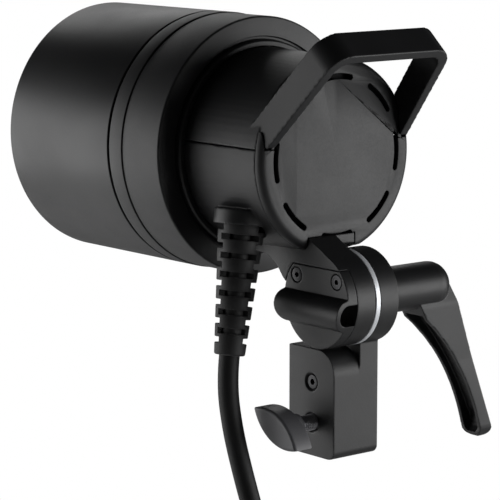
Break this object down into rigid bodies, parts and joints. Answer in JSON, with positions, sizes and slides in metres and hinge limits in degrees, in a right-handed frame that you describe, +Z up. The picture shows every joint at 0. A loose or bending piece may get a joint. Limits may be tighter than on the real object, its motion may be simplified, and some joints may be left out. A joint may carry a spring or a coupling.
{
  "type": "remote flash head",
  "caption": "Studio flash head with a capped front, leaning rear handle, tilt bracket with clamp lever and stand socket, and a booted supply cable in a hanging coil.",
  "frame": {"origin": "centre of the stand socket's mouth, at the bottom of the bracket block", "axes": "+Z up along the stand, -Y the way the lamp faces, +X the side with the cable and the clamp knob"},
  "size_m": [0.1577, 0.3061, 0.4165],
  "materials": {
    "cap_plastic": "satin moulded plastic",
    "housing_plastic": "fine textured moulded plastic",
    "rear_plastic": "fine textured moulded plastic",
    "mesh_dark": "fine dust mesh",
    "mount_metal": "turned",
    "reflector_metal": "bright brushed",
    "ceramic": "glazed ceramic",
    "dome_glass": "clear",
    "tube_glass": "clear coated",
    "led_yellow": "silicone lens",
    "board_green": "solder mask",
    "brass": "machined",
    "fixing_steel": "zinc plated",
    "spring_steel": "drawn wire",
    "black_screw": "black oxide",
    "transformer_blue": "potted",
    "fan_plastic": "moulded",
    "bracket_metal": "black satin powder coat",
    "washer_silver": "ground",
    "knob_plastic": "moulded",
    "boot_rubber": "soft moulded",
    "cord_rubber": "smooth sheath",
    "tie_strap": "hook and loop strap",
    "plug_plastic": "moulded",
    "plug_metal": "dark plated"
  },
  "bodies": {
    "bracket": {"bracket_body": "bracket_metal", "friction_washer": "washer_silver", "tilt_bolt": "fixing_steel", "grub_screw": "black_screw", "thrust_washer": "fixing_steel"},
    "clutch": {"clutch_nut": "fixing_steel", "lever_screw": "black_screw", "lever_spring": "spring_steel"},
    "lever": {"clamp_lever": "bracket_metal"},
    "clamp_tip": {"clamp_shoe": "brass"},
    "clamp_handle": {"clamp_knob": "knob_plastic", "clamp_thread": "fixing_steel"},
    "cap": {"cap_shell": "cap_plastic", "cap_lug_ring": "cap_plastic"},
    "slider": {"release_slider": "fan_plastic"},
    "fan": {"fan_rotor": "fan_plastic"},
    "plug_ring": {"plug_sleeve": "plug_metal"},
    "head": {"bayonet_ring": "mount_metal", "board_screws": "fixing_steel", "cable_gland": "boot_rubber", "chassis_plate": "mount_metal", "coil_tie": "tie_strap", "cord_coil": "cord_rubber", "cord_tail": "cord_rubber", "driver_board": "board_green", "dust_mesh": "mesh_dark", "fan_frame": "fan_plastic", "flash_tube": "tube_glass", "foot_screws": "fixing_steel", "front_collar": "housing_plastic", "front_housing": "housing_plastic", "glass_dome": "dome_glass", "heat_sink": "mount_metal", "lamp_holder": "ceramic", "lower_shell": "housing_plastic", "modelling_light": "led_yellow", "plug_body": "plug_plastic", "plug_pins": "brass", "rear_cover": "rear_plastic", "reflector_dish": "reflector_metal", "release_spring": "spring_steel", "standoffs": "brass", "strain_relief": "boot_rubber", "supply_cord": "cord_rubber", "tilt_arm": "bracket_metal", "trigger_transformer": "transformer_blue", "umbrella_plate": "bracket_metal", "umbrella_screws": "black_screw", "upper_shell": "housing_plastic"}
  },
  "joints": [
    {"name": "head_tilt", "type": "hinge", "parent": "bracket", "child": "head", "pos_m": [0, 0.0076, 0.075], "axis": [1, 0, 0], "range_deg": [-90, 55]},
    {"name": "clamp_turn", "type": "hinge", "parent": "bracket", "child": "clutch", "pos_m": [0, 0.0076, 0.075], "axis": [1, 0, 0], "range_deg": [-270, 0]},
    {"name": "lever_lift", "type": "slide", "parent": "clutch", "child": "lever", "axis": [-1, 0, 0], "range_m": [0, 0.004], "stiffness_N_per_m": 900, "springref_m": -0.002, "deforming": ["lever_spring"]},
    {"name": "socket_clamp_travel", "type": "slide", "parent": "bracket", "child": "clamp_tip", "axis": [-1, 0, 0], "range_m": [0, 0.00375]},
    {"name": "socket_clamp_turn", "type": "hinge", "parent": "clamp_tip", "child": "clamp_handle", "pos_m": [0.018, 0, 0.0158], "axis": [-1, 0, 0], "range_deg": [0, 1080.1]},
    {"name": "cap_off", "type": "slide", "parent": "head", "child": "cap", "axis": [0, -1, 0], "range_m": [0, 0.1]},
    {"name": "mount_release", "type": "slide", "parent": "head", "child": "slider", "axis": [0, 1, 0], "range_m": [0, 0.005], "stiffness_N_per_m": 500, "springref_m": -0.002, "deforming": ["release_spring"]},
    {"name": "fan_spin", "type": "hinge", "parent": "head", "child": "fan", "pos_m": [0, -0.015, 0.14], "axis": [0, 1, 0], "continuous": true},
    {"name": "plug_ring_turn", "type": "hinge", "parent": "head", "child": "plug_ring", "pos_m": [0.05185, 0.00395, -0.19], "axis": [0, 0, 1], "range_deg": [-60, 0]}
  ],
  "couplings": [
    {"joint": "socket_clamp_turn", "follows": "socket_clamp_travel", "rad_per_m": 5026.5}
  ]
}
